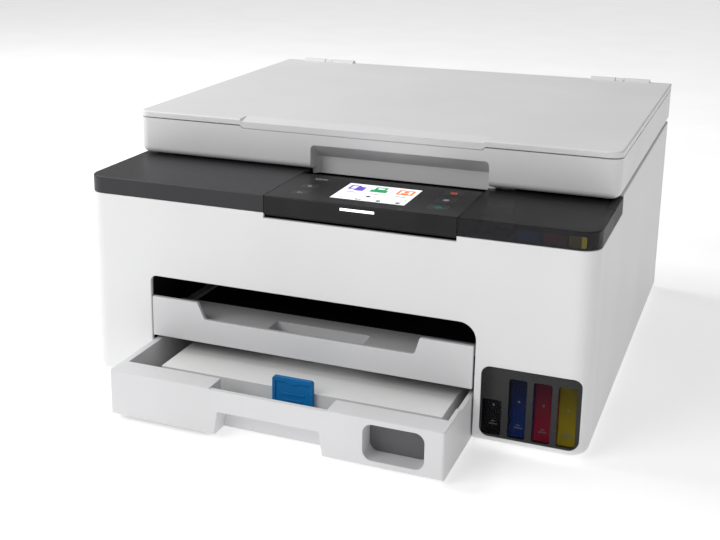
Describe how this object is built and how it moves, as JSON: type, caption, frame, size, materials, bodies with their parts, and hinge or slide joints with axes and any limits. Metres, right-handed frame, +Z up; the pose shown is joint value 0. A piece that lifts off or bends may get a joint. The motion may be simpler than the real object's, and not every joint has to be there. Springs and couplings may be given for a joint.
{
  "type": "inkjet printer",
  "caption": "Flatbed inkjet printer with smoked ink tank cover, tilting touch panel, hinged scanner and lid, front paper cassette and pull-out output tray.",
  "frame": {"origin": "middle of the whole footprint, with the cassette standing out of the front, on the surface the feet stand on", "axes": "+Z up, +X to the right seen from the front, the front face looks to -Y"},
  "size_m": [0.374, 0.4432, 0.1957],
  "materials": {
    "white_plastic": "fine satin texture",
    "cassette_plastic": "fine satin texture",
    "charcoal_plastic": "satin",
    "panel_gloss": "semi-gloss black",
    "smoke_plastic": "smoked translucent",
    "black_plastic": "satin black",
    "window_gloss": "gloss black",
    "tank_plastic": "clear moulded",
    "cap_black": "satin",
    "cap_blue": "satin",
    "cap_magenta": "satin",
    "cap_yellow": "satin",
    "key_plastic": "semi-gloss black with printed symbols",
    "display_glass": "lit colour display under glass",
    "light_guide": "lit white diffuser",
    "scan_glass": "clear float glass",
    "sensor_black": "matt",
    "pad_foam": "white foam sheet",
    "sheet_steel": "zinc-plated",
    "shaft_steel": "ground",
    "gear_plastic": "natural acetal",
    "rubber_black": "matt",
    "rubber_grey": "matt",
    "motor_steel": "plated can",
    "circuit_board": "green solder mask",
    "supply_case": "black",
    "screw_steel": "zinc-plated",
    "paper_white": "plain office paper",
    "guide_grey": "satin",
    "guide_blue": "satin blue",
    "tray_plastic": "fine satin texture"
  },
  "bodies": {
    "chassis": {"front_cover": "white_plastic", "left_side_cover": "white_plastic", "right_side_cover": "white_plastic", "rear_cover": "white_plastic", "bottom_case": "white_plastic", "rubber_feet": "rubber_grey", "case_screws": "screw_steel", "left_top_cover": "charcoal_plastic", "top_deck": "black_plastic", "ink_window": "window_gloss", "black_ink_tank": "tank_plastic", "colour_ink_tanks": "tank_plastic", "main_frame": "black_plastic", "main_rail": "sheet_steel", "platen": "black_plastic", "carriage_motor": "motor_steel", "timing_belt": "rubber_black", "feed_motor": "motor_steel", "main_board": "circuit_board", "power_supply": "supply_case", "power_inlet": "black_plastic"},
    "rear_door": {"rear_access_cover": "white_plastic"},
    "ink_cover": {"ink_tank_cover": "smoke_plastic"},
    "panel": {"operation_panel": "panel_gloss", "lcd_screen": "display_glass", "status_light_bar": "light_guide"},
    "button_power": {"button_power": "key_plastic"},
    "button_back": {"button_back": "key_plastic"},
    "button_home": {"button_home": "key_plastic"},
    "button_stop": {"button_stop": "key_plastic"},
    "button_black_start": {"button_black_start": "key_plastic"},
    "button_colour_start": {"button_colour_start": "key_plastic"},
    "cap_black": {"tank_cap_black": "cap_black"},
    "cap_blue": {"tank_cap_blue": "cap_blue"},
    "cap_magenta": {"tank_cap_magenta": "cap_magenta"},
    "cap_yellow": {"tank_cap_yellow": "cap_yellow"},
    "scanner": {"scanner_base": "white_plastic", "scanner_bezel": "white_plastic", "scanner_glass": "scan_glass"},
    "scan_sensor": {"scan_bar": "sensor_black"},
    "lid": {"document_lid": "white_plastic", "lid_pad": "pad_foam"},
    "carriage": {"carriage": "black_plastic"},
    "drive_pulley": {"drive_pulley": "gear_plastic"},
    "idler_pulley": {"idler_pulley": "gear_plastic"},
    "feed": {"feed_roller": "shaft_steel", "feed_gear": "gear_plastic"},
    "idler_gear": {"idler_gear": "gear_plastic"},
    "eject": {"eject_roller": "rubber_black"},
    "motor_pinion": {"motor_pinion": "gear_plastic"},
    "pickup": {"pickup_arm": "black_plastic"},
    "pickup_wheel": {"pickup_roller": "rubber_grey"},
    "cap_sled": {"cap_sled": "rubber_black"},
    "cassette": {"cassette_tray": "cassette_plastic", "paper_stack": "paper_white"},
    "guide_left": {"paper_guide_left": "guide_grey"},
    "guide_right": {"paper_guide_right": "guide_grey"},
    "guide_front": {"paper_guide_front": "guide_blue"},
    "tray": {"output_tray": "tray_plastic"},
    "tray_front": {"output_tray_front": "tray_plastic"}
  },
  "joints": [
    {"name": "rear_cover_hinge", "type": "hinge", "parent": "chassis", "child": "rear_door", "pos_m": [-0.012, 0.2198, 0.0318], "axis": [-1, 0, 0], "range_deg": [0, 75]},
    {"name": "ink_cover_hinge", "type": "hinge", "parent": "chassis", "child": "ink_cover", "pos_m": [0.141, -0.0884, 0.1528], "axis": [-1, 0, 0], "range_deg": [0, 80]},
    {"name": "panel_tilt", "type": "hinge", "parent": "chassis", "child": "panel", "pos_m": [0.026, -0.1529, 0.1485], "axis": [1, 0, 0], "range_deg": [0, 45]},
    {"name": "button_power_press", "type": "slide", "parent": "panel", "child": "button_power", "axis": [0, 0, -1], "range_m": [0, 0.0006], "stiffness_N_per_m": 600, "springref_m": -0.0004},
    {"name": "button_back_press", "type": "slide", "parent": "panel", "child": "button_back", "axis": [0, 0, -1], "range_m": [0, 0.0006], "stiffness_N_per_m": 600, "springref_m": -0.0004},
    {"name": "button_home_press", "type": "slide", "parent": "panel", "child": "button_home", "axis": [0, 0, -1], "range_m": [0, 0.0006], "stiffness_N_per_m": 600, "springref_m": -0.0004},
    {"name": "button_stop_press", "type": "slide", "parent": "panel", "child": "button_stop", "axis": [0, 0, -1], "range_m": [0, 0.0006], "stiffness_N_per_m": 600, "springref_m": -0.0004},
    {"name": "button_black_start_press", "type": "slide", "parent": "panel", "child": "button_black_start", "axis": [0, 0, -1], "range_m": [0, 0.0006], "stiffness_N_per_m": 600, "springref_m": -0.0004},
    {"name": "button_colour_start_press", "type": "slide", "parent": "panel", "child": "button_colour_start", "axis": [0, 0, -1], "range_m": [0, 0.0006], "stiffness_N_per_m": 600, "springref_m": -0.0004},
    {"name": "cap_black_hinge", "type": "hinge", "parent": "chassis", "child": "cap_black", "pos_m": [0.1246, -0.1044, 0.1165], "axis": [-1, 0, 0], "range_deg": [0, 85]},
    {"name": "cap_blue_hinge", "type": "hinge", "parent": "chassis", "child": "cap_blue", "pos_m": [0.1413, -0.1044, 0.1165], "axis": [-1, 0, 0], "range_deg": [0, 85]},
    {"name": "cap_magenta_hinge", "type": "hinge", "parent": "chassis", "child": "cap_magenta", "pos_m": [0.1573, -0.1044, 0.1165], "axis": [-1, 0, 0], "range_deg": [0, 85]},
    {"name": "cap_yellow_hinge", "type": "hinge", "parent": "chassis", "child": "cap_yellow", "pos_m": [0.1733, -0.1044, 0.1165], "axis": [-1, 0, 0], "range_deg": [0, 85]},
    {"name": "scanner_lift", "type": "hinge", "parent": "chassis", "child": "scanner", "pos_m": [0, 0.2136, 0.168], "axis": [-1, 0, 0], "range_deg": [0, 45]},
    {"name": "scan_bar_slide", "type": "slide", "parent": "scanner", "child": "scan_sensor", "axis": [1, 0, 0], "range_m": [0, 0.28]},
    {"name": "lid_hinge", "type": "hinge", "parent": "scanner", "child": "lid", "pos_m": [0, 0.2158, 0.19115], "axis": [-1, 0, 0], "range_deg": [0, 85]},
    {"name": "carriage_slide", "type": "slide", "parent": "chassis", "child": "carriage", "axis": [-1, 0, 0], "range_m": [0, 0.238]},
    {"name": "drive_pulley_spin", "type": "hinge", "parent": "chassis", "child": "drive_pulley", "pos_m": [0.163, 0.0656, 0.133], "axis": [0, 1, 0], "continuous": true},
    {"name": "idler_pulley_spin", "type": "hinge", "parent": "chassis", "child": "idler_pulley", "pos_m": [-0.163, 0.0656, 0.133], "axis": [0, 1, 0], "continuous": true},
    {"name": "feed_spin", "type": "hinge", "parent": "chassis", "child": "feed", "pos_m": [0, 0.0396, 0.094], "axis": [1, 0, 0], "continuous": true},
    {"name": "idler_spin", "type": "hinge", "parent": "chassis", "child": "idler_gear", "pos_m": [-0.147, 0.0046, 0.094], "axis": [1, 0, 0], "continuous": true},
    {"name": "eject_spin", "type": "hinge", "parent": "chassis", "child": "eject", "pos_m": [0, -0.0304, 0.094], "axis": [1, 0, 0], "continuous": true},
    {"name": "pinion_spin", "type": "hinge", "parent": "chassis", "child": "motor_pinion", "pos_m": [-0.147, 0.05231, 0.06905], "axis": [1, 0, 0], "continuous": true},
    {"name": "pickup_lift", "type": "hinge", "parent": "chassis", "child": "pickup", "pos_m": [0, 0.0676, 0.066], "axis": [1, 0, 0], "range_deg": [0, 14]},
    {"name": "pickup_spin", "type": "hinge", "parent": "pickup", "child": "pickup_wheel", "pos_m": [-0.007, 0.1236, 0.043], "axis": [1, 0, 0], "continuous": true},
    {"name": "cap_sled_slide", "type": "slide", "parent": "chassis", "child": "cap_sled", "axis": [0, 0, -1], "range_m": [0, 0.006], "stiffness_N_per_m": 200, "springref_m": -0.004},
    {"name": "cassette_slide", "type": "slide", "parent": "chassis", "child": "cassette", "axis": [0, -1, 0], "range_m": [-0.0632, 0.2]},
    {"name": "side_guide_left_slide", "type": "slide", "parent": "cassette", "child": "guide_left", "axis": [-1, 0, 0], "range_m": [0, 0.004]},
    {"name": "side_guide_right_slide", "type": "slide", "parent": "cassette", "child": "guide_right", "axis": [1, 0, 0], "range_m": [0, 0.004]},
    {"name": "front_guide_slide", "type": "slide", "parent": "cassette", "child": "guide_front", "axis": [0, -1, 0], "range_m": [0, 0.0045]},
    {"name": "output_tray_slide", "type": "slide", "parent": "chassis", "child": "tray", "axis": [0, -1, 0], "range_m": [0, 0.11]},
    {"name": "tray_extension_slide", "type": "slide", "parent": "tray", "child": "tray_front", "axis": [0, -1, 0], "range_m": [0, 0.12]}
  ],
  "couplings": [
    {"joint": "drive_pulley_spin", "follows": "carriage_slide", "rad_per_m": 166.67},
    {"joint": "idler_pulley_spin", "follows": "carriage_slide", "rad_per_m": 166.67},
    {"joint": "idler_spin", "follows": "feed_spin", "ratio": -1.3333},
    {"joint": "eject_spin", "follows": "feed_spin", "ratio": 1},
    {"joint": "pinion_spin", "follows": "feed_spin", "ratio": -2.5},
    {"joint": "side_guide_right_slide", "follows": "side_guide_left_slide", "ratio": 1}
  ]
}
